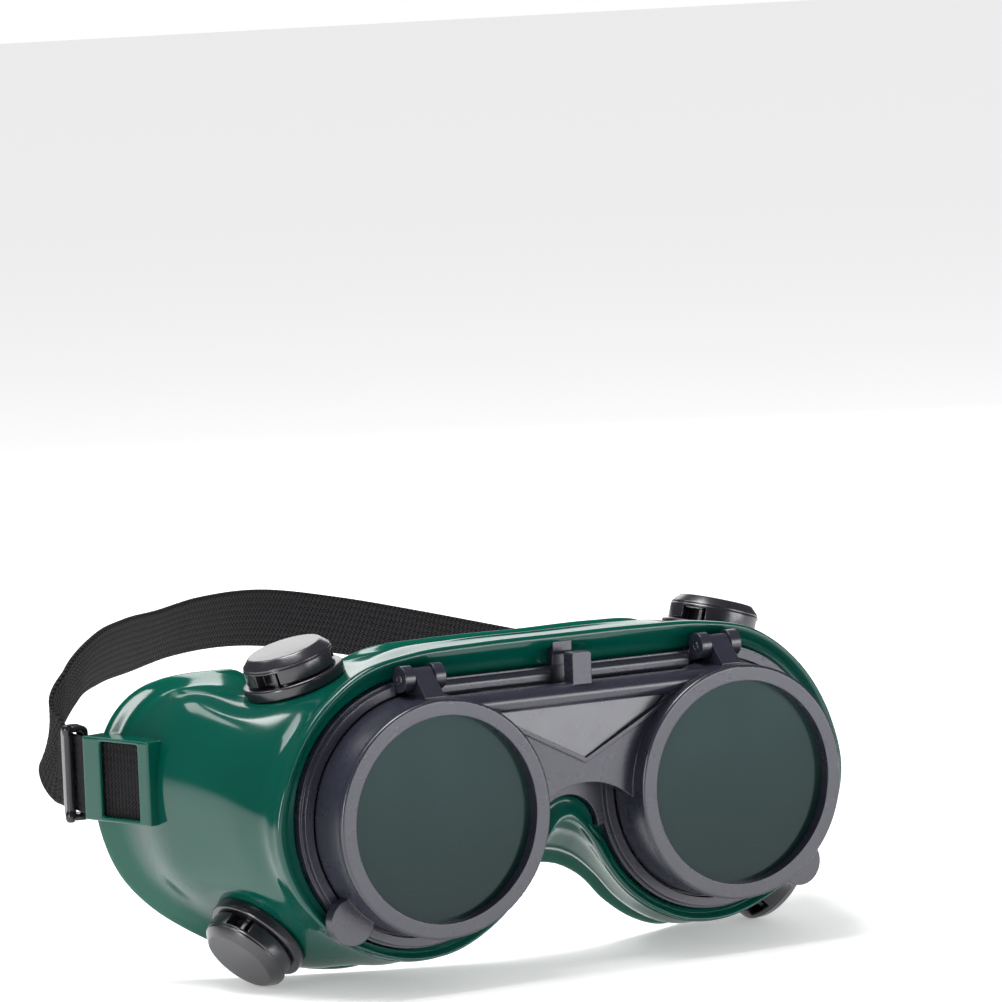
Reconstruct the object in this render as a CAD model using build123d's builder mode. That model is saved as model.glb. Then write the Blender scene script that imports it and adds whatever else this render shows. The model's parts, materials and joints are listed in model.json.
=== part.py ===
from build123d import *
import math
import os

# Flip-front welding goggles with two 50 mm round filter lenses.
# +X is the wearer's left, -Y is forward, +Z is up. The origin is midway between the
# lens centres, in the plane of the front rims. All lengths are millimetres.

# Driving dimensions
lens_spacing = 78.6
lens_radius = 25.0
lens_x = lens_spacing / 2
slack = 0.08

# Flip frame (the part that lifts)
rim_radius = 27.0
ring_radius = 26.5
ring_back_radius = 27.4
sight_radius = 23.4
rim_depth = 1.6
lip_depth = 2.8
ring_depth = 11.4
bore_radius = lens_radius + slack
filter_thick = 3.0
tab_x = 59.8
tab_z = -21.7
tab_radius = 5.4
tab_front = 8.2
tab_thick = 3.0

# Flip hinge
hinge_y = 10.0
hinge_z = 31.0
pin_radius = 0.95
pin_length = 10.4
arm_width = 5.0
arm_radius = 2.3
ear_width = 2.6
ear_gap = 0.15
ear_radius = 3.0
ear_reach = 5.4

# Front frame
plate_front = 13.0
plate_back = 15.5
neck_back = 17.6
flange_back = 19.4
cup_back = 24.6
plate_radius = 30.5
neck_radius = 28.5
flange_radius = 29.5
cup_radius = 27.8
bar_top = 29.8
web_bottom = 0.0
collar_cut_bottom = 8.0
seat_y = 19.0
clear_thick = 2.0
clearance = 0.1

# Mask
wall = 2.2
front_y = 13.1
mid_y = 38.0
back_y = 82.0
face_radius = 120.0
face_front_y = 34.0

# Vents
cap_radius = 10.4
cap_bevel = 1.9
cap_start = 3.1
base_radius = 11.7
base_thick = 2.8
neck_vent_radius = 7.5
inner_disc_radius = 8.3
boss_radius = 12.8
boss_thick = 3.0
vent_stack = 9.0

# Strap and lugs: each lug lies along its wing, turned outwards by lug_turn degrees
strap_width = 17.6
strap_thick = 1.4
lug_centre = (89.85, 61.0, 7.6)
lug_turn = 14.5
lug_length = 21.8
lug_height = 19.2
lug_root = 9.0
tunnel_depth = 2.4
tunnel_thick = 2.6
window_length = 12.8
window_offset = -1.1

sides = {"right": -1, "left": 1}

# Half outlines of the mask wall, as (x, z) from the top centre round to the nose.
front_outline = [
    (0, 37), (22, 36.9), (38, 36.2), (52, 33.2), (65, 23.5), (73, 10), (75.5, -2), (72, -14),
    (64, -23.5), (53, -30), (42, -33.2), (31, -32.6), (22, -28.7), (15, -23.4), (9.8, -16.8), (5.6, -9.6),
    (0, -6),
]
mid_outline = [
    (0, 36), (22, 35.9), (36, 34.8), (46, 31.6), (60, 27.6), (74, 25.2), (81.4, 10.6), (81, -4), (77, -16.4),
    (66.6, -27.6), (54, -35.6), (42, -37.9), (32, -35.2), (23, -29.6), (16.5, -23.6), (9.8, -20.6), (5, -20),
    (0, -19.8),
]
back_outline = [
    (0, 34.5), (24, 35), (44, 35.3), (62, 37), (77.5, 33), (88, 21.5), (90.4, 6), (89.6, -7), (85.8, -19),
    (76.5, -33), (60, -41.5), (43, -40.8), (32, -37), (24, -31), (17, -26), (10, -23.5), (5, -23), (0, -23),
]


def inset(points, distance):
    """The same half outline moved inwards by a wall thickness."""
    moved = []
    for index, (x, z) in enumerate(points):
        before = points[max(index - 1, 0)]
        after = points[min(index + 1, len(points) - 1)]
        along_x = after[0] - before[0]
        along_z = after[1] - before[1]
        if index == 0 or index == len(points) - 1:
            along_x = 1 if index == 0 else -1
            along_z = 0
        length = math.hypot(along_x, along_z)
        moved.append((x + distance * along_z / length, z - distance * along_x / length))
    return moved


def upright(y):
    """A plane across the goggles at depth y: local x is +X, local y is +Z, normal is -Y."""
    return Plane(origin=(0, y, 0), x_dir=(1, 0, 0), z_dir=(0, -1, 0))


def mask_outline(points):
    """A closed mask section, symmetrical about x = 0, drawn flat."""
    with BuildSketch() as section:
        with BuildLine():
            Spline(*points, tangents=((1, 0), (-1, 0)))
            Spline(*[(-x, z) for x, z in points], tangents=((-1, 0), (1, 0)))
        make_face()
    return section.sketch


def frame_outline(grow):
    """The front frame's outline, two discs joined by a web, grown or shrunk all round."""
    arch = (8, web_bottom - 8 - grow)
    with BuildSketch() as outline:
        with Locations((-lens_x, 0), (lens_x, 0)):
            Circle(plate_radius + grow)
        with Locations((0, bar_top + grow)):
            Rectangle(lens_spacing + 2 * ear_reach + 2 * grow, 12, align=(Align.CENTER, Align.MAX))
        with BuildLine():
            Polyline(arch, (lens_x, 0), (lens_x, 20), (-lens_x, 20), (-lens_x, 0), (-arch[0], arch[1]))
            ThreePointArc(arch, (0, web_bottom - grow), (-arch[0], arch[1]))
        make_face()
    return outline.sketch


def hinge_plane(x):
    """A plane square to the hinge pin: local x is +Y, local y is +Z, normal is +X."""
    return Plane(origin=(x, 0, 0), x_dir=(0, 1, 0), z_dir=(1, 0, 0))


def save(part, name):
    part.label = name
    export_step(part, f"parts/{name}.step")


os.makedirs("parts", exist_ok=True)

# The cut that sinks the light panel into the bridge plate, deepest under the top bar
panel_slope = Plane(origin=(0, 4.9, 9.4), x_dir=(1, 0, 0), z_dir=(0, -1, 0.11))
with BuildPart() as panel_cut:
    with BuildSketch(upright(2)):
        with BuildLine():
            Polyline((-24, 21.6), (24, 21.6), (0, 9.4), (-24, 21.6))
        make_face()
        with Locations((-lens_x, 0), (lens_x, 0)):
            Circle(ring_back_radius + 0.1, mode=Mode.SUBTRACT)
    extrude(amount=-6)
    split(bisect_by=panel_slope, keep=Keep.TOP)

# Flip frame: two rings, a top bar, a bridge plate with a V, thumb tabs, hinge arms and a latch block
with BuildPart() as flip_frame:
    for x in (-lens_x, lens_x):
        with BuildSketch(upright(0)):
            with Locations((x, 0)):
                Circle(rim_radius)
        extrude(amount=-rim_depth)
        fillet(flip_frame.faces().sort_by(Axis.Y)[0].edges(), 0.6)
        with BuildSketch(upright(rim_depth)):
            with Locations((x, 0)):
                Circle(ring_radius)
        with BuildSketch(upright(ring_depth)):
            with Locations((x, 0)):
                Circle(ring_back_radius)
        loft()
    with BuildSketch(upright(4.8)):
        with BuildLine():
            Polyline((-12.5, -1), (-34, 4), (-34, 25.6), (34, 25.6), (34, 4), (12.5, -1))
            ThreePointArc((12.5, -1), (0, 3.7), (-12.5, -1))
        make_face()
    extrude(amount=-3.6)
    add(panel_cut.part, mode=Mode.SUBTRACT)
    with BuildSketch(upright(4.1)):
        with BuildLine():
            Polyline((-24, 21.6), (0, 9.4), (24, 21.6), (24, 20.4), (0, 8.2), (-24, 20.4), (-24, 21.6))
        make_face()
    extrude(amount=-2)
    with BuildSketch(Plane.YZ.offset(-36)):
        with Locations((5.7, 24.0)):
            Circle(2.4)
            Rectangle(2.6, 4.8, align=(Align.MIN, Align.CENTER))
    extrude(amount=72)
    with BuildSketch(upright(4.6)):
        with Locations((0, 29.2)):
            RectangleRounded(4.9, 8.4, 0.7)
    extrude(amount=-3.8)
    for sign in (-1, 1):
        with BuildSketch(upright(tab_front)):
            with Locations((sign * tab_x, tab_z)):
                Circle(tab_radius)
        extrude(amount=-tab_thick)
    for sign in (-1, 1):
        with BuildSketch(hinge_plane(sign * lens_x - arm_width / 2)):
            with Locations((hinge_y, hinge_z)):
                Circle(arm_radius)
            with BuildLine():
                Polyline(
                    (3.4, 25.5), (3.4, 27.2), (8.6, 32.8), (10.5, 33.2), (12.2, 31), (11.2, 25.5), (3.4, 25.5)
                )
            make_face()
        extrude(amount=arm_width)
    for x in (-lens_x, lens_x):
        with Locations(Location((x, 0, 0), (90, 0, 0))):
            Cylinder(sight_radius, 3 * ring_depth, mode=Mode.SUBTRACT)
        with BuildSketch(upright(lip_depth)):
            with Locations((x, 0)):
                Circle(bore_radius)
        extrude(amount=-ring_depth, mode=Mode.SUBTRACT)
    with Locations(Location((0, hinge_y, hinge_z), (0, 90, 0))):
        Cylinder(pin_radius + 0.07, 2 * rim_radius + lens_spacing, mode=Mode.SUBTRACT)
save(flip_frame.part, "flip_frame")

# Front frame: a flanged plate in the mask opening, two lens cups, hinge ears and the latch post
with BuildPart() as front_frame:
    for grow, start, end in (
        (0, plate_front, plate_back),
        (neck_radius - plate_radius, plate_back, neck_back),
        (flange_radius - plate_radius, neck_back, flange_back),
    ):
        with BuildSketch(upright(start)):
            add(frame_outline(grow))
        extrude(amount=-(end - start))
    for x in (-lens_x, lens_x):
        with BuildSketch(upright(plate_front - 1.6)):
            with Locations((x, 0)):
                Circle(plate_radius - 0.6)
                Circle(ring_back_radius + 0.4, mode=Mode.SUBTRACT)
        extrude(amount=-1.7)
        with BuildSketch(upright(flange_back)):
            with Locations((x, 0)):
                Circle(cup_radius)
        extrude(amount=-(cup_back - flange_back))
    with Locations((0, plate_front, collar_cut_bottom)):
        Box(lens_spacing, 3, plate_radius, align=(Align.CENTER, Align.MAX, Align.MIN), mode=Mode.SUBTRACT)
    with Locations((-lens_x, plate_front, 29), (lens_x, plate_front, 29)):
        Box(2 * ear_reach, 3, 8, align=(Align.CENTER, Align.MAX, Align.CENTER), mode=Mode.SUBTRACT)
    for sign in (-1, 1):
        for offset in (-1, 1):
            inner = sign * lens_x + offset * (arm_width / 2 + ear_gap)
            start = inner if offset > 0 else inner - ear_width
            with BuildSketch(hinge_plane(start)):
                with Locations((hinge_y, hinge_z)):
                    Circle(ear_radius)
                with BuildLine():
                    Polyline(
                        (7.3, 31), (12.7, 31), (12.7, bar_top), (13.4, bar_top),
                        (13.4, 26.9), (10.5, 28), (7.3, 31),
                    )
                make_face()
            extrude(amount=ear_width)
    for start in (-33, 4):
        with BuildSketch(hinge_plane(start)):
            with Locations((plate_front, bar_top - 2.4)):
                RectangleRounded(2.9, 3.8, 1.4)
        extrude(amount=29)
    with BuildSketch(hinge_plane(-2.5)):
        with BuildLine():
            Polyline((13.2, 27), (13.2, 32.2), (12.8, 33), (12.8, 35.2), (15.3, 35.4), (15.3, 27), (13.2, 27))
        make_face()
    extrude(amount=5)
    for x in (-lens_x, lens_x):
        with Locations(Location((x, plate_back, 0), (90, 0, 0))):
            Cylinder(sight_radius, 40, mode=Mode.SUBTRACT)
        with BuildSketch(upright(seat_y)):
            with Locations((x, 0)):
                Circle(bore_radius)
        extrude(amount=-20, mode=Mode.SUBTRACT)
    with Locations(Location((0, hinge_y, hinge_z), (0, 90, 0))):
        Cylinder(pin_radius, 2 * rim_radius + lens_spacing, mode=Mode.SUBTRACT)
save(front_frame.part, "front_frame")

# Lenses, their retaining rings and the hinge pins, one of each per side
for side, sign in sides.items():
    x = sign * lens_x
    with BuildPart() as filter_lens:
        with BuildSketch(upright(lip_depth)):
            with Locations((x, 0)):
                Circle(lens_radius)
        extrude(amount=-filter_thick)
    save(filter_lens.part, f"filter_lens_{side}")

    with BuildPart() as filter_ring:
        with BuildSketch(upright(lip_depth + filter_thick)):
            with Locations((x, 0)):
                Circle(lens_radius)
                Circle(sight_radius - 0.4, mode=Mode.SUBTRACT)
        extrude(amount=-2.4)
    save(filter_ring.part, f"filter_retaining_ring_{side}")

    with BuildPart() as clear_lens:
        with BuildSketch(upright(seat_y)):
            with Locations((x, 0)):
                Circle(lens_radius)
        extrude(amount=-clear_thick)
    save(clear_lens.part, f"clear_lens_{side}")

    ring_start = seat_y + clear_thick + 0.02
    with BuildPart() as clear_ring:
        with BuildSketch(upright(ring_start)):
            with Locations((x, 0)):
                Circle(lens_radius)
                Circle(sight_radius - 0.6, mode=Mode.SUBTRACT)
        extrude(amount=-2.4)
        with BuildSketch(upright(ring_start + 2.4)):
            with Locations((x, 0)):
                Circle(lens_radius - 0.5)
                Circle(sight_radius + 0.1, mode=Mode.SUBTRACT)
        extrude(amount=-1.4)
        with BuildSketch(upright(ring_start + 1.4)):
            with Locations((x, 0)):
                with PolarLocations(sight_radius + 0.4, 4):
                    Rectangle(4, 3)
        extrude(amount=-3, mode=Mode.SUBTRACT)
    save(clear_ring.part, f"clear_retaining_ring_{side}")

    with BuildPart() as hinge_pin:
        with Locations(Location((x, hinge_y, hinge_z), (0, 90, 0))):
            Cylinder(pin_radius, pin_length)
        chamfer(hinge_pin.edges(), 0.2)
    save(hinge_pin.part, f"hinge_pin_{side}")


def vent_plane(side_sign, spot):
    """A plane on the mask wall at a vent, its normal pointing out of the mask."""
    origin, normal = {
        "top": ((55.5, 37.5, 28.4), (0.28, 0.03, 0.96)),
        "bottom": ((66.2, 39.0, -26.9), (0.74, -0.14, -0.65)),
    }[spot]
    place = (side_sign * origin[0], origin[1], origin[2])
    out = (side_sign * normal[0], normal[1], normal[2])
    return Plane(origin=place, x_dir=(0, 1, 0), z_dir=out)


vents = [(spot, side) for spot in ("top", "bottom") for side in sides]

# Vents: a base snapped through the mask wall, and a domed cap pegged into it
for spot, side in vents:
    place = vent_plane(sides[side], spot)
    with BuildPart() as vent_base:
        with BuildSketch(place.offset(0.05)):
            Circle(base_radius)
        extrude(amount=base_thick)
        chamfer(vent_base.edges().group_by(SortBy.LENGTH)[-1], 0.4)
        with BuildSketch(place.offset(-boss_thick - 0.05)):
            Circle(neck_vent_radius)
        extrude(amount=boss_thick + 0.2)
        with BuildSketch(place.offset(-boss_thick - 0.05)):
            Circle(inner_disc_radius)
        extrude(amount=-1.4)
        with BuildSketch(place.offset(base_thick)):
            Circle(7.4)
            with PolarLocations(7.4, 10):
                Rectangle(2.6, 1.1)
        extrude(amount=4.0)
        with BuildSketch(place.offset(base_thick + 0.2)):
            Circle(6.2)
            Circle(3.4, mode=Mode.SUBTRACT)
        extrude(amount=10, mode=Mode.SUBTRACT)
        with BuildSketch(place.offset(-boss_thick - 2)):
            with PolarLocations(4.8, 6):
                Circle(1.3)
        extrude(amount=20, mode=Mode.SUBTRACT)
        with BuildSketch(place.offset(base_thick + 0.6)):
            Circle(2.0)
        extrude(amount=10, mode=Mode.SUBTRACT)
    save(vent_base.part, f"vent_base_{spot}_{side}")

    with BuildPart() as vent_cap:
        with BuildSketch(place.offset(cap_start)):
            Circle(cap_radius)
        extrude(amount=vent_stack - cap_start)
        chamfer(vent_cap.faces().filter_by(Plane(place.origin, z_dir=place.z_dir)).sort_by(
            Axis(place.origin, place.z_dir))[-1].edges(), cap_bevel)
        with BuildSketch(place.offset(cap_start)):
            Circle(cap_radius - 1.2)
        extrude(amount=vent_stack - cap_start - cap_bevel, mode=Mode.SUBTRACT)
        with BuildSketch(place.offset(base_thick + 0.8)):
            Circle(1.95)
        extrude(amount=vent_stack - base_thick - 2)
    save(vent_cap.part, f"vent_cap_{spot}_{side}")


def lug_plane(sign, depth=0.0):
    """A plane on a lug at a depth below its outer face: local x runs along it, the normal is outward."""
    angle = math.radians(lug_turn)
    along = (sign * math.sin(angle), math.cos(angle), 0)
    out = (sign * math.cos(angle), -math.sin(angle), 0)
    origin = (sign * lug_centre[0] - depth * out[0], lug_centre[1] - depth * out[1], lug_centre[2])
    return Plane(origin=origin, x_dir=along, z_dir=out)


def tunnel_point(sign, distance):
    """A point on the middle line of a lug's tunnel, at a distance rearwards from its middle."""
    return lug_plane(sign, tunnel_depth).from_local_coords((distance, 0, 0))


# Mask: a soft shell from the front frame back to the face, with a lug on each wing
with BuildPart() as mask_body:
    for points, y in ((front_outline, front_y), (mid_outline, mid_y), (back_outline, back_y)):
        with BuildSketch(upright(y)):
            add(mask_outline(points))
    loft()
    for sign in (-1, 1):
        with BuildSketch(lug_plane(sign)):
            Rectangle(lug_length, lug_height)
        extrude(amount=-lug_root)
    for points, y in ((front_outline, neck_back - 0.04), (mid_outline, mid_y), (back_outline, back_y + 1)):
        with BuildSketch(upright(y)):
            add(mask_outline(inset(points, wall)))
    loft(mode=Mode.SUBTRACT)
    with Locations((0, face_front_y + face_radius, 0)):
        Cylinder(face_radius, 120, mode=Mode.SUBTRACT)
    with BuildSketch(upright(front_y - 3)):
        add(frame_outline(clearance))
    extrude(amount=-(plate_back + 0.05 - front_y + 3), mode=Mode.SUBTRACT)
    with BuildSketch(upright(front_y)):
        add(frame_outline(neck_radius - plate_radius + clearance))
    extrude(amount=-6, mode=Mode.SUBTRACT)
    with Locations((0, plate_back + 0.05, 27)):
        Box(5.6, 4, 8.9, align=(Align.CENTER, Align.MAX, Align.MIN), mode=Mode.SUBTRACT)
    for sign in (-1, 1):
        with BuildSketch(lug_plane(sign, tunnel_depth - tunnel_thick / 2)):
            Rectangle(2 * lug_length, strap_width + 0.8)
        extrude(amount=-tunnel_thick, mode=Mode.SUBTRACT)
        with BuildSketch(lug_plane(sign)):
            with Locations((window_offset, 0)):
                Rectangle(window_length, strap_width + 0.8)
        extrude(amount=-tunnel_depth, mode=Mode.SUBTRACT)
    for spot, side in vents:
        place = vent_plane(sides[side], spot)
        with BuildSketch(place.offset(-boss_thick)):
            Circle(boss_radius)
        extrude(amount=boss_thick)
        with BuildSketch(place):
            Circle(base_radius + 0.3)
        extrude(amount=12, mode=Mode.SUBTRACT)
        with BuildSketch(place.offset(-boss_thick)):
            Circle(inner_disc_radius + 0.5)
        extrude(amount=-8, mode=Mode.SUBTRACT)
        with BuildSketch(place.offset(-boss_thick - 1)):
            Circle(neck_vent_radius + 0.05)
        extrude(amount=boss_thick + 2, mode=Mode.SUBTRACT)
save(mask_body.part, "mask_body")

# Head strap: a flat elastic band from one lug round the head to the other, through these points
bend_right = tunnel_point(-1, 12.0)
bend_left = tunnel_point(1, 12.0)
run_end = Vector(-88.0, 91.0, 7.5)
strap_back = [
    (-86.5, 98.5, 13.5), (-80, 104, 21.5), (-70, 111.5, 27), (-58, 122, 28.5), (-42, 135, 28.5),
    (-25, 145, 29.5), (0, 154, 28.5), (20, 152.5, 25), (40, 145, 20.3), (58, 132, 15.5),
    (74, 112, 11), (85, 92, 8.3),
]
back_steps = 28
top_lean = 36.0


def band_plane(point, along, lean):
    """A section plane of the band: local x is its width, leaning inwards, and the normal is along it."""
    tangent = Vector(*along).normalized()
    inward = tangent.cross(Vector(0, 0, 1)).normalized()
    upward = inward.cross(tangent)
    lean = math.radians(lean)
    width = upward * math.cos(lean) + inward * math.sin(lean)
    return Plane(origin=point, x_dir=width, z_dir=tangent)


run = run_end - bend_right
with BuildLine() as back_line:
    Spline(run_end, *strap_back, bend_left)
back_curve = back_line.edges()[0]

# Each station is a centre point, the direction of the band and the lean of its top edge
stations = [(tunnel_point(-1, distance), lug_plane(-1).x_dir, 0) for distance in (-9, 0, 10.9)]
stations += [(bend_right + run * share, run, 0) for share in (0.06, 0.3, 0.6, 0.9)]
for step in range(1, back_steps):
    place = step / back_steps
    lean = top_lean * math.sqrt(math.sin(math.pi * place))
    stations.append((back_curve @ place, back_curve % place, lean))
stations += [(tunnel_point(1, distance), -lug_plane(1).x_dir, 0) for distance in (10.9, 0, -9)]

with BuildPart() as head_strap:
    for point, along, lean in stations:
        with BuildSketch(band_plane(point, along, lean)):
            Rectangle(strap_width, strap_thick)
    loft(ruled=True)
save(head_strap.part, "head_strap")

# Slider: a moulded loop round the straight run of the band behind the right lug
slider_start = 0.3
slider_length = 5.0
with BuildPart() as strap_slider:
    with BuildSketch(band_plane(bend_right + run * slider_start, run, 0)):
        RectangleRounded(strap_width + 4.4, strap_thick + 3.4, 1.2)
        Rectangle(strap_width + 0.7, strap_thick + 0.7, mode=Mode.SUBTRACT)
    extrude(amount=slider_length)
save(strap_slider.part, "strap_slider")
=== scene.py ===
import json
import math

import bmesh
import bpy
import numpy as np
from mathutils import Matrix, Vector


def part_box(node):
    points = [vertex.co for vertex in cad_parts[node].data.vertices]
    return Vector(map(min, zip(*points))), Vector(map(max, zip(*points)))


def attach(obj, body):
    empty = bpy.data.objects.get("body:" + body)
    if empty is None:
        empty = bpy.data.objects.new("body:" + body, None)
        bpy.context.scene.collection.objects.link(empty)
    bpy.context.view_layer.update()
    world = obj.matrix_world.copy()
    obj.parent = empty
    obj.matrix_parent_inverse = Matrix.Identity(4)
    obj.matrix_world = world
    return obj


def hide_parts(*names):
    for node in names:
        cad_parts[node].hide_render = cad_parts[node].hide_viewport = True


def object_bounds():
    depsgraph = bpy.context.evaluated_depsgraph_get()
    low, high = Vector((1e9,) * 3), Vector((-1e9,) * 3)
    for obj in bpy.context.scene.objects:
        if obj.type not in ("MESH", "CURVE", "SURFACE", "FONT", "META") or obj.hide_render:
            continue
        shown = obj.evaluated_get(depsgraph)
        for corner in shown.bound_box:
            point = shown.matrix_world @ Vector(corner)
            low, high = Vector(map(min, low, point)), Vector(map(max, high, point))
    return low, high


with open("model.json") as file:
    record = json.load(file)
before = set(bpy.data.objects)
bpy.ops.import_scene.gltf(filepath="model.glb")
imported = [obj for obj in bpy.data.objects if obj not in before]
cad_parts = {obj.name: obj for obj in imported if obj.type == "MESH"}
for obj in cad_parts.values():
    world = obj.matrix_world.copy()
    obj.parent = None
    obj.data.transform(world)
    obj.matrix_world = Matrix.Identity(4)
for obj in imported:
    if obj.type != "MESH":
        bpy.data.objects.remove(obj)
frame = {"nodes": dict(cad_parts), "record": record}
cad_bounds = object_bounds()
MM = 0.001

# ---------------------------------------------------------------- materials


def new_material(name):
    """A node material with its Principled shader, and the helpers to build on it."""
    material = bpy.data.materials.new(name)
    material.use_nodes = True
    tree = material.node_tree
    shader = tree.nodes["Principled BSDF"]
    return material, tree, shader


def add_node(tree, kind, **settings):
    """A node of the given kind. Settings are properties, or inputs if they start with in_."""
    node = tree.nodes.new(kind)
    for key, value in settings.items():
        if key.startswith("in_"):
            node.inputs[key[3:].replace("_", " ")].default_value = value
        else:
            setattr(node, key, value)
    return node


def ramp(tree, source, stops):
    """A colour ramp fed by a value socket; stops are (position, colour)."""
    node = tree.nodes.new("ShaderNodeValToRGB")
    elements = node.color_ramp.elements
    while len(elements) < len(stops):
        elements.new(0.5)
    for element, (place, colour) in zip(elements, stops):
        element.position = place
        element.color = (*colour, 1)
    tree.links.new(source, node.inputs["Fac"])
    return node


def noise(tree, scale, detail=4, coordinates="Object", stretch=(1, 1, 1)):
    """A noise texture in object space, so it doesn't depend on UVs. The scale is per metre."""
    where = tree.nodes.new("ShaderNodeTexCoord")
    mapping = add_node(tree, "ShaderNodeMapping")
    mapping.inputs["Scale"].default_value = stretch
    tree.links.new(where.outputs[coordinates], mapping.inputs["Vector"])
    texture = add_node(tree, "ShaderNodeTexNoise", in_Scale=scale, in_Detail=detail)
    tree.links.new(mapping.outputs["Vector"], texture.inputs["Vector"])
    return texture


def bump(tree, shader, height, strength, distance):
    node = add_node(tree, "ShaderNodeBump", in_Strength=strength, in_Distance=distance)
    tree.links.new(height, node.inputs["Height"])
    tree.links.new(node.outputs["Normal"], shader.inputs["Normal"])
    return node


def grey(value):
    return (value, value, value)


PLASTIC_MOTTLE, PLASTIC_SMUDGE, PLASTIC_GRAIN = 45, 70, 900
EDGE_ROUNDING = 0.0003


def moulded_plastic(name, colour, roughness, gloss=0.5):
    """Glossy moulded plastic: faint mottle, smudges in the gloss, rounded edges, fine grain."""
    material, tree, shader = new_material(name)
    cloud = noise(tree, PLASTIC_MOTTLE, 3)
    dark = [channel * 0.88 for channel in colour]
    light = [channel * 1.15 for channel in colour]
    tone = ramp(tree, cloud.outputs["Fac"], [(0.3, dark), (0.75, light)])
    tree.links.new(tone.outputs["Color"], shader.inputs["Base Color"])
    smudge = noise(tree, PLASTIC_SMUDGE, 4)
    smooth, worn = grey(roughness - 0.02), grey(roughness + 0.04)
    rough = ramp(tree, smudge.outputs["Fac"], [(0.3, smooth), (0.75, worn)])
    tree.links.new(rough.outputs["Color"], shader.inputs["Roughness"])
    shader.inputs["IOR"].default_value = 1.52
    shader.inputs["Specular IOR Level"].default_value = gloss
    fine = noise(tree, PLASTIC_GRAIN, 4)
    relief = bump(tree, shader, fine.outputs["Fac"], 0.14, 0.0001)
    rounded = add_node(tree, "ShaderNodeBevel", samples=8, in_Radius=EDGE_ROUNDING)
    tree.links.new(rounded.outputs["Normal"], relief.inputs["Normal"])
    return material


def mask_pvc():
    """Soft green PVC: glossy, a little see-through, brighter where it is thin."""
    material, tree, shader = new_material("mask_pvc")
    thin = add_node(tree, "ShaderNodeAttribute", attribute_name="thin")
    cloud = noise(tree, 18, 3)
    deep = ramp(
        tree, cloud.outputs["Fac"], [(0.3, (0.0004, 0.058, 0.042)), (0.75, (0.0006, 0.078, 0.056))]
    )
    pale = add_node(tree, "ShaderNodeMix", data_type="RGBA")
    tree.links.new(thin.outputs["Fac"], pale.inputs["Factor"])
    tree.links.new(deep.outputs["Color"], pale.inputs["A"])
    pale.inputs["B"].default_value = (0.0006, 0.105, 0.072, 1)
    tree.links.new(pale.outputs["Result"], shader.inputs["Base Color"])
    smear = noise(tree, 90, 5)
    rough = ramp(tree, smear.outputs["Fac"], [(0.35, grey(0.09)), (0.8, grey(0.17))])
    tree.links.new(rough.outputs["Color"], shader.inputs["Roughness"])
    shader.inputs["IOR"].default_value = 1.53
    ripple = noise(tree, 28, 2)
    relief = bump(tree, shader, ripple.outputs["Fac"], 0.25, 0.0006)
    glow = add_node(tree, "ShaderNodeBsdfTranslucent")
    tree.links.new(relief.outputs["Normal"], glow.inputs["Normal"])
    glow.inputs["Color"].default_value = (0.0, 0.24, 0.14, 1)
    clear = add_node(tree, "ShaderNodeBsdfTransparent")
    clear.inputs["Color"].default_value = (0.01, 0.42, 0.27, 1)
    inner = tree.nodes.new("ShaderNodeMixShader")
    inner.inputs["Fac"].default_value = 0.25
    tree.links.new(glow.outputs["BSDF"], inner.inputs[1])
    tree.links.new(clear.outputs["BSDF"], inner.inputs[2])
    outer = tree.nodes.new("ShaderNodeMixShader")
    share = ramp(tree, thin.outputs["Fac"], [(0, grey(0.12)), (1, grey(0.24))])
    tree.links.new(share.outputs["Color"], outer.inputs["Fac"])
    tree.links.new(shader.outputs["BSDF"], outer.inputs[1])
    tree.links.new(inner.outputs["Shader"], outer.inputs[2])
    tree.links.new(outer.outputs["Shader"], tree.nodes["Material Output"].inputs["Surface"])
    return material


LENS_RADIUS = 0.025


def filter_glass():
    """Dark green welding glass with painted shade: darker towards the bottom, lighter towards its top
    edge.
    """
    material, tree, shader = new_material("filter_glass")
    where = tree.nodes.new("ShaderNodeTexCoord")
    split = tree.nodes.new("ShaderNodeSeparateXYZ")
    tree.links.new(where.outputs["Object"], split.inputs["Vector"])
    span = add_node(tree, "ShaderNodeMapRange")
    span.inputs["From Min"].default_value = -LENS_RADIUS
    span.inputs["From Max"].default_value = LENS_RADIUS
    tree.links.new(split.outputs["Z"], span.inputs["Value"])
    # Painted shade: the glass colour runs dark at the bottom to lighter at the top, standing in for how
    # the light falls on it.
    tone = ramp(
        tree, span.outputs["Result"], [(0, (0.002, 0.009, 0.007)), (1, (0.012, 0.030, 0.028))]
    )
    tree.links.new(tone.outputs["Color"], shader.inputs["Base Color"])
    haze = noise(tree, 70, 3)
    rough = ramp(tree, haze.outputs["Fac"], [(0.3, grey(0.12)), (0.8, grey(0.18))])
    tree.links.new(rough.outputs["Color"], shader.inputs["Roughness"])
    shader.inputs["IOR"].default_value = 1.5
    shader.inputs["Specular IOR Level"].default_value = 0.34
    shader.inputs["Specular Tint"].default_value = (0.80, 0.97, 1.0, 1)
    ripple = noise(tree, 30, 2)
    bump(tree, shader, ripple.outputs["Fac"], 0.05, 0.0002)
    return material


def clear_glass():
    material, tree, shader = new_material("clear_glass")
    haze = noise(tree, 80, 4)
    rough = ramp(tree, haze.outputs["Fac"], [(0.4, grey(0.02)), (0.85, grey(0.10))])
    tree.links.new(rough.outputs["Color"], shader.inputs["Roughness"])
    shader.inputs["Base Color"].default_value = (0.93, 0.97, 0.96, 1)
    shader.inputs["IOR"].default_value = 1.5
    shader.inputs["Alpha"].default_value = 0.14
    ripple = noise(tree, 20, 1)
    bump(tree, shader, ripple.outputs["Fac"], 0.02, 0.0001)
    return material


STITCH_PITCH, ZIGZAG_PITCH, ZIGZAG_PHASE = 1.1, 0.98, 1.3


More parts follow.
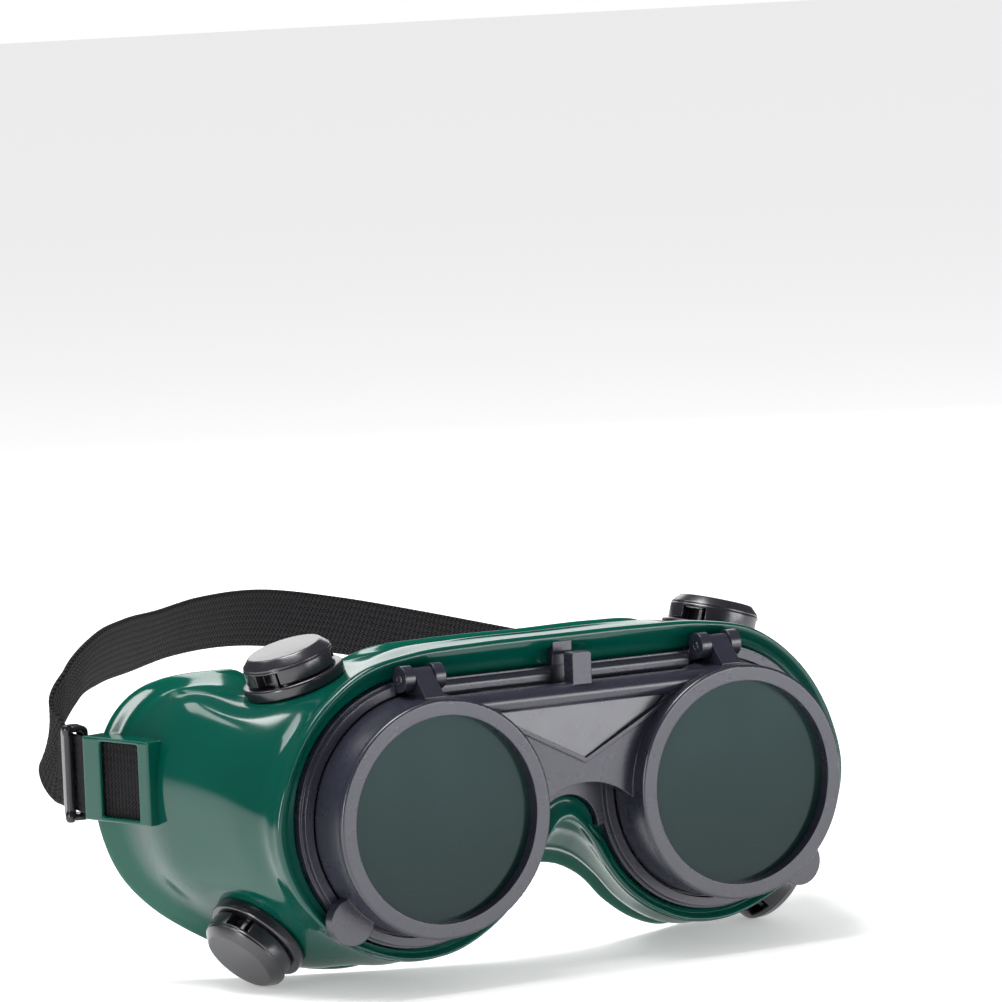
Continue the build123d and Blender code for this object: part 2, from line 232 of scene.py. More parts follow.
def elastic():
    """Black knitted elastic: bright and dark stitches in rows along each rib."""
    material, tree, shader = new_material("strap_elastic")
    uv = add_node(tree, "ShaderNodeUVMap", uv_map="weave")
    split = tree.nodes.new("ShaderNodeSeparateXYZ")
    tree.links.new(uv.outputs["UV"], split.inputs["Vector"])
    along = add_node(tree, "ShaderNodeMath", operation="MULTIPLY")
    along.inputs[1].default_value = 2 * math.pi / STITCH_PITCH
    tree.links.new(split.outputs["X"], along.inputs[0])
    across = add_node(tree, "ShaderNodeMath", operation="MULTIPLY")
    across.inputs[1].default_value = 2 * math.pi / ZIGZAG_PITCH
    tree.links.new(split.outputs["Y"], across.inputs[0])
    zigzag = add_node(tree, "ShaderNodeMath", operation="SINE")
    tree.links.new(across.outputs["Value"], zigzag.inputs[0])
    shifted = add_node(tree, "ShaderNodeMath", operation="MULTIPLY_ADD")
    shifted.inputs[1].default_value = ZIGZAG_PHASE
    tree.links.new(zigzag.outputs["Value"], shifted.inputs[0])
    tree.links.new(along.outputs["Value"], shifted.inputs[2])
    stitch = add_node(tree, "ShaderNodeMath", operation="SINE")
    tree.links.new(shifted.outputs["Value"], stitch.inputs[0])
    thread = add_node(tree, "ShaderNodeMapRange")
    thread.inputs["From Min"].default_value = -1
    tree.links.new(stitch.outputs["Value"], thread.inputs["Value"])
    fuzz = noise(tree, 2600, 3)
    both = add_node(tree, "ShaderNodeMath", operation="MULTIPLY_ADD")
    both.inputs[1].default_value = 0.6
    tree.links.new(fuzz.outputs["Fac"], both.inputs[0])
    tree.links.new(thread.outputs["Result"], both.inputs[2])
    tone = ramp(tree, both.outputs["Value"], [
        (0.25, (0.0015, 0.0013, 0.0016)),
        (0.8, (0.006, 0.0054, 0.0066)),
        (1.0, (0.020, 0.018, 0.021)),
    ])
    tree.links.new(tone.outputs["Color"], shader.inputs["Base Color"])
    shader.inputs["Roughness"].default_value = 0.82
    shader.inputs["Specular IOR Level"].default_value = 0.2
    bump(tree, shader, both.outputs["Value"], 0.7, 0.0003)
    return material


def steel():
    material, tree, shader = new_material("pin_steel")
    scratch = noise(tree, 1200, 3, stretch=(0.05, 1, 1))
    tone = ramp(
        tree, scratch.outputs["Fac"], [(0.3, (0.30, 0.30, 0.31)), (0.8, (0.62, 0.62, 0.64))]
    )
    tree.links.new(tone.outputs["Color"], shader.inputs["Base Color"])
    shader.inputs["Metallic"].default_value = 1
    shader.inputs["Roughness"].default_value = 0.3
    bump(tree, shader, scratch.outputs["Fac"], 0.2, 0.0001)
    return material


gunmetal = moulded_plastic("frame_plastic", (0.020, 0.020, 0.033), 0.27, 0.72)
vent_black = moulded_plastic("vent_plastic", (0.016, 0.015, 0.021), 0.24, 0.8)
ring_black = moulded_plastic("ring_plastic", (0.006, 0.006, 0.008), 0.22)
slider_black = moulded_plastic("slider_plastic", (0.008, 0.008, 0.011), 0.26)
pvc = mask_pvc()
dark_glass = filter_glass()
cover_glass = clear_glass()
webbing = elastic()
wire = steel()
by_slot = {
    "frame_plastic": gunmetal, "vent_plastic": vent_black, "ring_plastic": ring_black,
    "slider_plastic": slider_black, "mask_pvc": pvc, "filter_glass": dark_glass,
    "clear_glass": cover_glass, "strap_elastic": webbing, "pin_steel": wire,
}
for part in frame["record"]["subparts"]:
    node = frame["nodes"][part["node"]]
    node.data.materials.clear()
    node.data.materials.append(by_slot[part["material_slot"]])

# ---------------------------------------------------------------- mesh helpers


def mesh_object(name, points, faces, material, body):
    """A smooth mesh object from points in millimetres."""
    mesh = bpy.data.meshes.new(name)
    mesh.from_pydata([tuple(p * MM for p in point) for point in points], [], faces)
    mesh.materials.append(material)
    mesh.polygons.foreach_set("use_smooth", [True] * len(mesh.polygons))
    piece = bpy.data.objects.new(name, mesh)
    bpy.context.scene.collection.objects.link(piece)
    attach(piece, body)
    return piece


def apply_modifiers(piece):
    """Bakes every modifier of a piece into its mesh."""
    bpy.context.view_layer.update()
    graph = bpy.context.evaluated_depsgraph_get()
    baked = bpy.data.meshes.new_from_object(piece.evaluated_get(graph))
    piece.modifiers.clear()
    old = piece.data
    piece.data = baked
    bpy.data.meshes.remove(old)


def smoothstep(value, low, high):
    t = np.clip((np.asarray(value, float) - low) / (high - low), 0, 1)
    return t * t * (3 - 2 * t)


def closed_curve(half, per_span):
    """Points of the closed smooth curve through a half outline and its mirror image."""
    points = np.array(half + [(-x, z) for x, z in half[-2:0:-1]], float)
    count = len(points)
    ahead = np.roll(points, -1, 0) - points
    chord = np.linalg.norm(ahead, axis=1)[:, None]
    behind = np.roll(ahead, 1, 0)
    chord_behind = np.roll(chord, 1, 0)
    slope = (ahead / chord * chord_behind + behind / chord_behind * chord) / (chord + chord_behind)
    out = []
    for i in range(count):
        j = (i + 1) % count
        for step in range(per_span):
            u = step / per_span
            out.append(
                (2 * u**3 - 3 * u**2 + 1) * points[i] + (u**3 - 2 * u**2 + u) * chord[i] * slope[i]
                + (3 * u**2 - 2 * u**3) * points[j] + (u**3 - u**2) * chord[i] * slope[j]
            )
    return np.array(out)


def inward(curve):
    """Unit normals of a closed curve that runs clockwise from the top, pointing inside."""
    along = np.roll(curve, -1, 0) - np.roll(curve, 1, 0)
    along /= np.linalg.norm(along, axis=1)[:, None]
    return np.stack([along[:, 1], -along[:, 0]], 1)


# ---------------------------------------------------------------- mask

LENS_X = (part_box("filter_lens_left")[0].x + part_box("filter_lens_left")[1].x) / 2 / MM
FACE_RADIUS = 120.0
FACE_FRONT = 34.0
PLATE_RADIUS = 30.5
BAR_TOP = 29.8
BAR_HALF = LENS_X + 5.4
FRONT_Y, MID_Y, BACK_Y = 13.1, 38.0, 82.0

# Half outlines of the wall as (x, z), from the top centre round to the nose
FRONT = [
    (0, 37), (22, 36.9), (38, 36.2), (52, 33.2), (65, 23.5), (73, 10), (75.5, -2),
    (72, -14), (64, -23.5), (53, -30), (42, -33.2), (31, -32.6), (22, -28.7), (15, -23.4),
    (9.8, -16.8), (6, -10.5), (3, -7.2), (0, -6),
]
MID = [
    (0, 36), (22, 35.9), (36, 34.8), (46, 31.6), (60, 27.6), (74, 25.2), (81.4, 10.6),
    (81, -4), (77, -16.4), (66.6, -27.6), (54, -35.6), (42, -37.9), (32, -35.2),
    (23, -29.6), (16.5, -23.6), (9.8, -20.6), (5, -20), (0, -19.8),
]
BACK = [
    (0, 34.5), (24, 35), (44, 35.3), (62, 37), (77.5, 33), (88, 21.5), (90.4, 6),
    (89.6, -7), (85.8, -19), (76.5, -33), (60, -41.5), (43, -40.8), (32, -37), (24, -31),
    (17, -26), (10, -23.5), (5, -23), (0, -23),
]
VENTS = {
    "top": ((55.5, 37.5, 28.4), (0.28, 0.03, 0.96)),
    "bottom": ((66.2, 39.0, -26.9), (0.74, -0.14, -0.65)),
}
SPAN = 8


def wall_at(y, curves):
    """The wall outline at depth y (one depth per column), between the three outlines."""
    front, mid, back = curves
    a = (y - MID_Y) * (y - BACK_Y) / ((FRONT_Y - MID_Y) * (FRONT_Y - BACK_Y))
    b = (y - FRONT_Y) * (y - BACK_Y) / ((MID_Y - FRONT_Y) * (MID_Y - BACK_Y))
    c = (y - FRONT_Y) * (y - MID_Y) / ((BACK_Y - FRONT_Y) * (BACK_Y - MID_Y))
    return a[:, None] * front + b[:, None] * mid + c[:, None] * back


def frame_distance(points):
    """Signed distance from the front frame's plate outline, negative inside."""
    x, z = np.abs(points[:, 0]), points[:, 1]
    disc = np.hypot(x - LENS_X, z) - PLATE_RADIUS
    bar = np.maximum(x - BAR_HALF, np.abs(z - BAR_TOP / 2 - 8) - (BAR_TOP / 2 - 8))
    slope = np.hypot(8, 31.3)
    web = np.maximum(np.maximum(x - LENS_X, z - BAR_TOP), -(z * 31.3 + (LENS_X - x) * 8) / slope)
    arch = 8 - np.hypot(x, z + 8)
    web = np.maximum(web, arch)
    return np.minimum(np.minimum(disc, bar), web)


def onto_frame(points, offset):
    """Points moved to a set distance from the front frame's outline."""
    moved = points.copy()
    for _ in range(12):
        gap = frame_distance(moved) - offset
        grad = np.stack([
            frame_distance(moved + [0.05, 0]) - frame_distance(moved - [0.05, 0]),
            frame_distance(moved + [0, 0.05]) - frame_distance(moved - [0, 0.05]),
        ], 1)
        grad /= np.maximum(np.linalg.norm(grad, axis=1)[:, None], 1e-6)
        moved -= 0.7 * gap[:, None] * grad
    return moved


WALL_THICK = 3.6
THICK_SHARE, THIN_SHARE, SEAT_SHARE = 0.55, 0.22, 0.80
FLANGE_START, FLANGE_SHIFT, FLANGE_ROWS, FLANGE_PACKING = 27.0, 3.0, 22, 1.35
LOCK_DENT, LOCK_HALF = 1.6, 4.6
BROW_X, BROW_HALF, BROW_RISE = 61, 12, 2.4

# The front face: how far out each row lies from the frame (0) to the outer edge (1), and its depth
FACE_ROWS = [
    (0.12, 14.35), (0.3, 14.2), (0.46, 13.8), (0.6, 13.25), (0.74, 12.85), (0.87, 12.72), (0.96, 12.95),
]
# The waist behind the front edge: depth, and how far the wall is drawn in there
WAIST_ROWS = [(16.6, 0.35), (18.2, 0.85), (20.0, 0.95), (22.2, 0.65), (24.6, 0.25)]


def mask_rows(curves):
    """Rings of the mask, from the frame's groove to the face edge: points, thinness, wall."""
    front = curves[0]
    columns = len(front)
    rows = []

    def row(flat, y, thin=0.0, thick=THICK_SHARE):
        y = np.broadcast_to(np.asarray(y, float), (columns,))
        rows.append((np.stack([flat[:, 0], y, flat[:, 1]], 1), thin, thick))

    groove = onto_frame(front, -1.88)
    beside = onto_frame(front, 0.14)
    dent = LOCK_DENT * np.exp(-((front[:, 0] / LOCK_HALF) ** 4)) * (front[:, 1] > 0)
    row(groove, 15.58)
    row(beside, 15.58)
    row(beside + 0.02 * (front - beside), 14.75)
    for share, y in FACE_ROWS:
        row(beside + share * (front - beside), y + dent * (share < 0.6))
    row(beside + 0.992 * (front - beside), 13.5)
    row(front, 14.2)
    row(front, 15.3)
    normals = inward(front)
    for y, depth in WAIST_ROWS:
        flat = wall_at(np.full(columns, y), curves)
        row(flat + depth * normals, y)

    y_edge = np.full(columns, 60.0)
    for _ in range(30):
        flat = wall_at(y_edge, curves)
        y_edge = FACE_FRONT + FACE_RADIUS - np.sqrt(FACE_RADIUS**2 - flat[:, 0] ** 2)
    start = FLANGE_START - FLANGE_SHIFT * smoothstep(-y_edge, -40, -33)
    run = y_edge - start
    flange = 1.5 + 1.1 * smoothstep(-front[:, 1], -34, -20)
    for step in range(FLANGE_ROWS):
        share = 1 - (1 - step / (FLANGE_ROWS - 1)) ** FLANGE_PACKING
        y = start + run * share
        to_edge = (y_edge - y) / np.minimum(1, run / 26)
        tuck = flange * smoothstep(to_edge, 0.3, 5.5) * (1 - smoothstep(to_edge, 7, 24))
        flat = wall_at(y, curves)
        flat = flat + tuck[:, None] * inward(flat)
        brow = np.exp(-(((np.abs(flat[:, 0]) - BROW_X) / BROW_HALF) ** 2))
        brow = brow * smoothstep(y, 43, 51) * (flat[:, 1] > 0)
        flat[:, 1] += BROW_RISE * brow
        thin = float(smoothstep(-to_edge.mean(), -7, -3))
        row(flat, y, thin, THICK_SHARE - THIN_SHARE * thin)
    return rows


def seat_vents(points, thin, thick):
    """Flattens the wall into a round seat under each vent. Also gives where to smooth the wall."""
    ease = np.zeros(len(points))
    for origin, out in VENTS.values():
        for sign in (-1, 1):
            spot = np.array([sign * origin[0], origin[1], origin[2]])
            normal = np.array([sign * out[0], out[1], out[2]])
            normal /= np.linalg.norm(normal)
            offset = points - spot
            height = offset @ normal
            radius = np.linalg.norm(offset - height[:, None] * normal, axis=1)
            reach = 21 - 6 * smoothstep(offset[:, 1], 2, 12)
            near = 1 - smoothstep(radius, 12.2, reach)
            near = near * (np.abs(height) < 14) * (points[:, 1] > 15)
            points = points - (near * height)[:, None] * normal
            thick = np.maximum(thick, near * SEAT_SHARE)
            thin = thin * (1 - near)
            around = smoothstep(radius, 10, 13) * (1 - smoothstep(radius, 18, 26))
            around = around * (np.abs(height) < 16)
            ease = np.maximum(ease, around * (points[:, 1] > 17))
    return points, thin, thick, ease


def ease_wall(grid, ease, rounds=8):
    """Evens out a grid of wall points where ease is above zero, leaving both ends in place."""
    for _ in range(rounds):
        level = (np.roll(grid, 1, 1) + np.roll(grid, -1, 1)) / 2
        mean = grid.copy()
        mean[1:-1] = (level[1:-1] + (grid[2:] + grid[:-2]) / 2) / 2
        grid = grid + 0.6 * ease * (mean - grid)
    return grid


def build_mask():
    """The soft mask: one shell with a real wall thickness, open at the front and at the face."""
    rows = mask_rows([closed_curve(half, SPAN) for half in (FRONT, MID, BACK)])
    columns = len(rows[0][0])
    points = np.concatenate([ring for ring, _, _ in rows])
    thin = np.concatenate([np.full(columns, value) for _, value, _ in rows])
    thick = np.concatenate([np.full(columns, value) for _, _, value in rows])
    points, thin, thick, ease = seat_vents(points, thin, thick)
    grid = points.reshape(len(rows), columns, 3)
    points = ease_wall(grid, ease.reshape(len(rows), columns, 1)).reshape(-1, 3)

    faces = []
    for r in range(len(rows) - 1):
        near, far = r * columns, (r + 1) * columns
        for c in range(columns):
            d = (c + 1) % columns
            faces.append((near + c, near + d, far + d, far + c))
    mask = mesh_object("mask_shell", points, faces, pvc, "goggles")
    layer = mask.data.attributes.new("thin", "FLOAT", "POINT")
    layer.data.foreach_set("value", thin.astype(np.float32))
    group = mask.vertex_groups.new(name="thick")
    for index, weight in enumerate(thick):
        group.add([index], float(weight), "REPLACE")
    shell = mask.modifiers.new("wall", "SOLIDIFY")
    shell.thickness = WALL_THICK * MM
    shell.offset = -1
    shell.vertex_group = "thick"
    shell.thickness_vertex_group = 0.0
    shell.use_even_offset = False
    smooth = mask.modifiers.new("smooth", "SUBSURF")
    smooth.levels = 1
    smooth.render_levels = 1
    apply_modifiers(mask)
    mask.shadow_terminator_geometry_offset = 0.2
    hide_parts("mask_body")


build_mask()

# ---------------------------------------------------------------- turned pieces: vents


def lathe(profile, origin, out, angles, lift=None):
    """Points and faces of a closed profile of (radius, height) turned about an axis.

    The lift may change a point's height by its angle, which cuts openings in a skirt."""
    axis = Vector(out).normalized()
    side = axis.cross(Vector((0, 1, 0))).normalized()
    forward = axis.cross(side)
    points, faces = [], []
    for angle in angles:
        radial = side * math.cos(angle) + forward * math.sin(angle)
        for index, (radius, height) in enumerate(profile):
            if lift:
                height = lift(index, angle, height)
            points.append(Vector(origin) + radial * radius + axis * height)
    count, rounds = len(profile), len(angles)
    for turn in range(rounds):
        ahead = (turn + 1) % rounds
        for index in range(count):
            after = (index + 1) % count
            if profile[index][0] == 0 and profile[after][0] == 0:
                continue
            here, there = turn * count, ahead * count
            faces.append((here + index, here + after, there + after, there + index))
    return points, faces


def rounded(corners, radius, steps=3):
    """A closed profile with every corner that is not on the axis rounded off."""
    out = []
    count = len(corners)
    for index, (r, h) in enumerate(corners):
        if r == 0:
            out.append((r, h))
            continue
        before = Vector(corners[index - 1]) - Vector((r, h))
        after = Vector(corners[(index + 1) % count]) - Vector((r, h))
        reach = min(radius, before.length * 0.4, after.length * 0.4)
        start = Vector((r, h)) + before.normalized() * reach
        end = Vector((r, h)) + after.normalized() * reach
        for step in range(steps + 1):
            u = step / steps
            point = start * (1 - u) ** 2 + Vector((r, h)) * 2 * u * (1 - u) + end * u**2
            out.append((point.x, point.y))
    return out


# The six faces of a box whose corners go round its bottom, then round its top
BOX_FACES = ((3, 2, 1, 0), (4, 5, 6, 7), (0, 1, 5, 4), (1, 2, 6, 5), (2, 3, 7, 6), (3, 0, 4, 7))


def merge_close(piece, distance=0.005):
    """Joins points closer than the distance in millimetres and turns every face outwards."""
    work = bmesh.new()
    work.from_mesh(piece.data)
    bmesh.ops.remove_doubles(work, verts=work.verts, dist=distance * MM)
    bmesh.ops.recalc_face_normals(work, faces=work.faces)
    work.to_mesh(piece.data)
    work.free()


CAP_RADIUS, CAP_START, STACK, BEVEL = 10.4, 3.1, 9.0, 1.9
BASE_RADIUS, BASE_THICK = 11.7, 2.8
WINDOW_TOP = 6.0
WINDOW_HALF = math.radians(17)


def in_window(angle):
    """True inside one of the three openings in the cap's skirt."""
    third = 2 * math.pi / 3
    return abs((angle - 0.5 + third / 2) % third - third / 2) < WINDOW_HALF


def cap_angles():
    """Even steps round the cap, with a pair of close ones at each edge of an opening."""
    angles = [2 * math.pi * step / 120 for step in range(120)]
    third = 2 * math.pi / 3
    for turn in range(3):
        for sign in (-1, 1):
            edge = 0.5 + turn * third + sign * WINDOW_HALF
            angles += [edge - 0.004, edge + 0.004]
    return sorted(a % (2 * math.pi) for a in angles)


def build_vent(name, origin, out):
    """A vent: the base pressed into the mask wall, and its cap, its skirt cut by three openings."""
    cap_corners = [
        (0, STACK), (CAP_RADIUS - BEVEL - 0.35, STACK), (CAP_RADIUS - BEVEL, STACK - 0.12),
        (CAP_RADIUS - 0.15, STACK - BEVEL), (CAP_RADIUS - 0.25, STACK - BEVEL - 0.35),
        (CAP_RADIUS, STACK - BEVEL - 0.6), (CAP_RADIUS, CAP_START), (CAP_RADIUS - 1.0, CAP_START),
        (CAP_RADIUS - 1.1, STACK - BEVEL - 0.6), (0, STACK - BEVEL - 0.6),
    ]
    profile = rounded(cap_corners, 0.28)
    skirt = [index for index, (r, h) in enumerate(profile) if h < WINDOW_TOP]

    def lift(index, angle, height):
        cut = index in skirt and in_window(angle)
        return height + WINDOW_TOP - CAP_START if cut else height

    points, faces = lathe(profile, origin, out, cap_angles(), lift)
    cap = mesh_object("vent_cap_shell_" + name, points, faces, vent_black, "goggles")
    merge_close(cap)
    cap.data.set_sharp_from_angle(angle=math.radians(50))
    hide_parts("vent_cap_" + name)

    base_corners = [
        (0, 5.9), (7.3, 5.9), (7.4, BASE_THICK - 0.2), (8.6, BASE_THICK - 0.2), (8.8, BASE_THICK),
        (BASE_RADIUS - 0.3, BASE_THICK), (BASE_RADIUS, BASE_THICK - 0.4), (BASE_RADIUS, 0.35),
        (BASE_RADIUS - 0.25, 0.05), (7.45, 0.05), (7.45, -3.05), (8.3, -3.15), (8.3, -4.4),
        (6.6, -4.45), (6.3, -4.0), (3.0, -4.0), (2.6, -4.45), (0, -4.45),
    ]
    even = [2 * math.pi * step / 96 for step in range(96)]
    points, faces = lathe(rounded(base_corners, 0.22), origin, out, even)
    axis = Vector(out).normalized()
    side = axis.cross(Vector((0, 1, 0))).normalized()
    forward = axis.cross(side)
    for rib in range(10):
        angle = 2 * math.pi * rib / 10
        radial = side * math.cos(angle) + forward * math.sin(angle)
        across = axis.cross(radial)
        first = len(points)
        for height in (BASE_THICK - 0.4, 5.85):
            for radius, half in ((7.2, 0.55), (8.9, 0.5), (8.9, -0.5), (7.2, -0.55)):
                points.append(Vector(origin) + radial * radius + across * half + axis * height)
        for quad in BOX_FACES:
            faces.append(tuple(first + corner for corner in quad))
    base = mesh_object("vent_base_shell_" + name, points, faces, vent_black, "goggles")
    merge_close(base)
    base.data.set_sharp_from_angle(angle=math.radians(50))
    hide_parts("vent_base_" + name)


for spot, (origin, out) in VENTS.items():
    for side, sign in (("right", -1), ("left", 1)):
        place = (sign * origin[0], origin[1], origin[2])
        build_vent(f"{spot}_{side}", place, (sign * out[0], out[1], out[2]))

# ---------------------------------------------------------------- lugs on the mask wings

LUG_CENTRE = (89.85, 61.0, 7.6)
LUG_TURN = math.radians(14.5)
LUG_LENGTH, LUG_HEIGHT, LUG_ROOT = 21.8, 19.2, 6.4
WINDOW_START, WINDOW_END = -7.5, 5.3
TUNNEL_DEPTH = 2.4
LUG_RAIL, LUG_STRIP, LUG_FLOOR = 0.95, 1.2, 1.7


def lug_point(sign, along, depth, height):
    """A point in millimetres, from distances along a lug, below its face and above its middle."""
    sin, cos = math.sin(LUG_TURN), math.cos(LUG_TURN)
    return Vector((
        sign * (LUG_CENTRE[0] + along * sin - depth * cos),
        LUG_CENTRE[1] + along * cos + depth * sin,
        LUG_CENTRE[2] + height,
    ))


def build_lug(side, sign):
    """A moulded loop on the wing: two cross strips and two thin rails, melted into one piece."""
    half, length = LUG_HEIGHT / 2, LUG_LENGTH / 2
    rail = LUG_RAIL
    blocks = [
        (-length, WINDOW_START, 0, LUG_ROOT, -half, half),
        (WINDOW_END, length, 0, LUG_STRIP, -half, half),
        (-length, length, 0, LUG_ROOT, half - rail, half),
        (-length, length, 0, LUG_ROOT, -half, rail - half),
        (-length, length, LUG_ROOT - LUG_FLOOR, LUG_ROOT, -half, half),
    ]
    points, faces = [], []
    for a0, a1, d0, d1, h0, h1 in blocks:
        first = len(points)
        base = ((a0, d0), (a1, d0), (a1, d1), (a0, d1))
        points += [lug_point(sign, a, d, h) for h in (h0, h1) for a, d in base]
        for quad in BOX_FACES:
            faces.append(tuple(first + corner for corner in quad))
    lug = mesh_object(f"lug_{side}", points, faces, pvc, "goggles")
    merge_close(lug)
    melt = lug.modifiers.new("melt", "REMESH")
    melt.mode = "VOXEL"
    melt.voxel_size = 0.3 * MM
    melt.use_smooth_shade = True
    ease = lug.modifiers.new("ease", "SMOOTH")
    ease.factor = 0.5
    ease.iterations = 4
    apply_modifiers(lug)
    lug.data.attributes.new("thin", "FLOAT", "POINT").data.foreach_set(
        "value", np.full(len(lug.data.vertices), 0.35, np.float32))


build_lug("right", -1)
build_lug("left", 1)

# ---------------------------------------------------------------- head strap and slider

STRAP_WIDTH, STRAP_THICK, RIBS = 17.6, 1.3, 9
BEND_RIGHT = lug_point(-1, 12, TUNNEL_DEPTH, 0)
RUN_END = Vector((-88.0, 91.0, 7.5))
BACK_PATH = [
    (-86.5, 98.5, 13.5), (-80, 104, 21.5), (-70, 111.5, 27), (-58, 122, 28.5), (-42, 135, 28.5),
    (-25, 145, 29.5), (0, 154, 28.5), (20, 152.5, 25), (40, 145, 20.3), (58, 132, 15.5),
    (74, 112, 11), (85, 92, 8.3),
]
TOP_LEAN = math.radians(36)


def open_curve(knots, spacing):
    """Points at about the given spacing on a smooth curve through knots."""
    knots = np.array([tuple(k) for k in knots], float)
    chord = np.linalg.norm(np.diff(knots, axis=0), axis=1)
    ahead = np.diff(knots, axis=0) / chord[:, None]
    inner = ahead[1:] * chord[:-1, None] + ahead[:-1] * chord[1:, None]
    inner = inner / (chord[1:] + chord[:-1])[:, None]
    slope = np.concatenate([ahead[:1], inner, ahead[-1:]])
    out = []
    for i, length in enumerate(chord):
        for step in range(max(1, round(length / spacing))):
            u = step / max(1, round(length / spacing))
            out.append(
                (2 * u**3 - 3 * u**2 + 1) * knots[i] + (u**3 - 2 * u**2 + u) * length * slope[i]
                + (3 * u**2 - 2 * u**3) * knots[i + 1] + (u**3 - u**2) * length * slope[i + 1]
            )
    out.append(knots[-1])
    return np.array(out)


RIB_HEIGHT, POINTS_PER_RIB, STATION_SPACING = 0.16, 6, 0.5


def build_strap():
    """The elastic band along its worn loop, with lengthwise ribs on both faces."""
    bend_left = lug_point(1, 12, TUNNEL_DEPTH, 0)
    run = [BEND_RIGHT + (RUN_END - BEND_RIGHT) * share for share in (0.04, 0.3, 0.6, 0.93, 1)]
    knots = [lug_point(-1, a, TUNNEL_DEPTH, 0) for a in (-8.5, 0, 9.5)] + run
    knots += [Vector(p) for p in BACK_PATH] + [bend_left]
    knots += [lug_point(1, a, TUNNEL_DEPTH, 0) for a in (0, -8.5)]
    line = open_curve(knots, STATION_SPACING)
    along = np.gradient(line, axis=0)
    along /= np.linalg.norm(along, axis=1)[:, None]
    distance = np.concatenate([[0], np.cumsum(np.linalg.norm(np.diff(line, axis=0), axis=1))])
    start = distance[np.argmin(np.linalg.norm(line - np.array(RUN_END), axis=1))]
    end = distance[np.argmin(np.linalg.norm(line - np.array(bend_left), axis=1))]
    round_head = np.clip((distance - start) / (end - start), 0, 1)
    lean = TOP_LEAN * np.sqrt(np.sin(np.pi * round_head))

    across = np.linspace(-0.5, 0.5, RIBS * POINTS_PER_RIB + 1)
    relief = RIB_HEIGHT * np.abs(np.sin(np.pi * RIBS * (across + 0.5))) ** 0.6
    taper = 1 - 0.55 * smoothstep(np.abs(across), 0.485, 0.5)
    face = (STRAP_THICK / 2 - RIB_HEIGHT + relief) * taper
    ring_w = np.concatenate([across, across[::-1]]) * STRAP_WIDTH
    ring_t = np.concatenate([face, -face[::-1]])
    count = len(ring_w)
    points, uvs = [], []
    for index, point in enumerate(line):
        tangent = Vector(along[index])
        inner = tangent.cross(Vector((0, 0, 1))).normalized()
        upward = inner.cross(tangent)
        width = upward * math.cos(lean[index]) + inner * math.sin(lean[index])
        normal = tangent.cross(width)
        for w, t in zip(ring_w, ring_t):
            points.append(Vector(point) + width * w + normal * t)
            uvs.append((distance[index], w + STRAP_WIDTH))
    faces = []
    for r in range(len(line) - 1):
        for c in range(count):
            d = (c + 1) % count
            faces.append((r * count + c, r * count + d, (r + 1) * count + d, (r + 1) * count + c))
    faces.append(tuple(range(count - 1, -1, -1)))
    faces.append(tuple(range(len(points) - count, len(points))))
    strap = mesh_object("strap_webbing", points, faces, webbing, "goggles")
    layer = strap.data.uv_layers.new(name="weave")
    for loop in strap.data.loops:
        layer.data[loop.index].uv = uvs[loop.vertex_index]
    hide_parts("head_strap")


build_strap()

SLIDER_START, SLIDER_LENGTH = 0.3, 5.0
BAR_ROUND, BAR_FLAT = 0.6, 0.15


def build_slider():
    """The loop that slides on the band: rounded bars, and a cross rod with swollen ends."""
    run = RUN_END - BEND_RIGHT
    tangent = run.normalized()
    inner = tangent.cross(Vector((0, 0, 1))).normalized()
    upward = inner.cross(tangent)
    centre = BEND_RIGHT + run * SLIDER_START + tangent * SLIDER_LENGTH / 2
    half_w, half_t, corner = STRAP_WIDTH / 2 + 1.35, STRAP_THICK / 2 + 1.2, 0.9
    path = []
    for cw, ct, first in ((1, 1, 0), (-1, 1, 90), (-1, -1, 180), (1, -1, 270)):
        for step in range(7):
            angle = math.radians(first + 15 * step)
            path.append((
                cw * (half_w - corner) + corner * math.cos(angle),
                ct * (half_t - corner) + corner * math.sin(angle),
            ))
    section = []
    for ca, co, first in ((1, 1, 0), (-1, 1, 90), (-1, -1, 180), (1, -1, 270)):
        for step in range(5):
            angle = math.radians(first + 22.5 * step)
            section.append((
                ca * (SLIDER_LENGTH / 2 - BAR_ROUND) + BAR_ROUND * math.cos(angle),
                co * BAR_FLAT + BAR_ROUND * math.sin(angle),
            ))
    points, faces = [], []
    count = len(section)
    for index, (w, t) in enumerate(path):
        before, after = path[index - 1], path[(index + 1) % len(path)]
        out = Vector((after[1] - before[1], before[0] - after[0])).normalized()
        for a, o in section:
            points.append(centre + tangent * a + upward * (w + out.x * o) + inner * (t + out.y * o))
    for index in range(len(path)):
        ahead = (index + 1) % len(path)
        for c in range(count):
            d = (c + 1) % count
            here, there = index * count, ahead * count
            faces.append((here + c, here + d, there + d, there + c))
    rod = centre - tangent * (SLIDER_LENGTH / 2 - 0.9) - inner * (half_t + 0.5)
    profile = rounded([
        (0, half_w + 1.1), (0.8, half_w + 1.1), (1.25, half_w + 0.3), (1.2, half_w - 0.8),
        (0.85, half_w - 1.6), (0.85, 1.6 - half_w), (1.2, 0.8 - half_w), (1.25, -half_w - 0.3),
        (0.8, -half_w - 1.1), (0, -half_w - 1.1),
    ], 0.5)
    rod_points, rod_faces = lathe(profile, rod, upward, [2 * math.pi * step / 28 for step in range(28)])
    faces += [tuple(len(points) + corner for corner in quad) for quad in rod_faces]
    points += rod_points
    slider = mesh_object("slider_loop", points, faces, slider_black, "slider")
    merge_close(slider)
    slider.data.set_sharp_from_angle(angle=math.radians(60))
    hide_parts("strap_slider")


build_slider()

# ---------------------------------------------------------------- stage, lights and camera

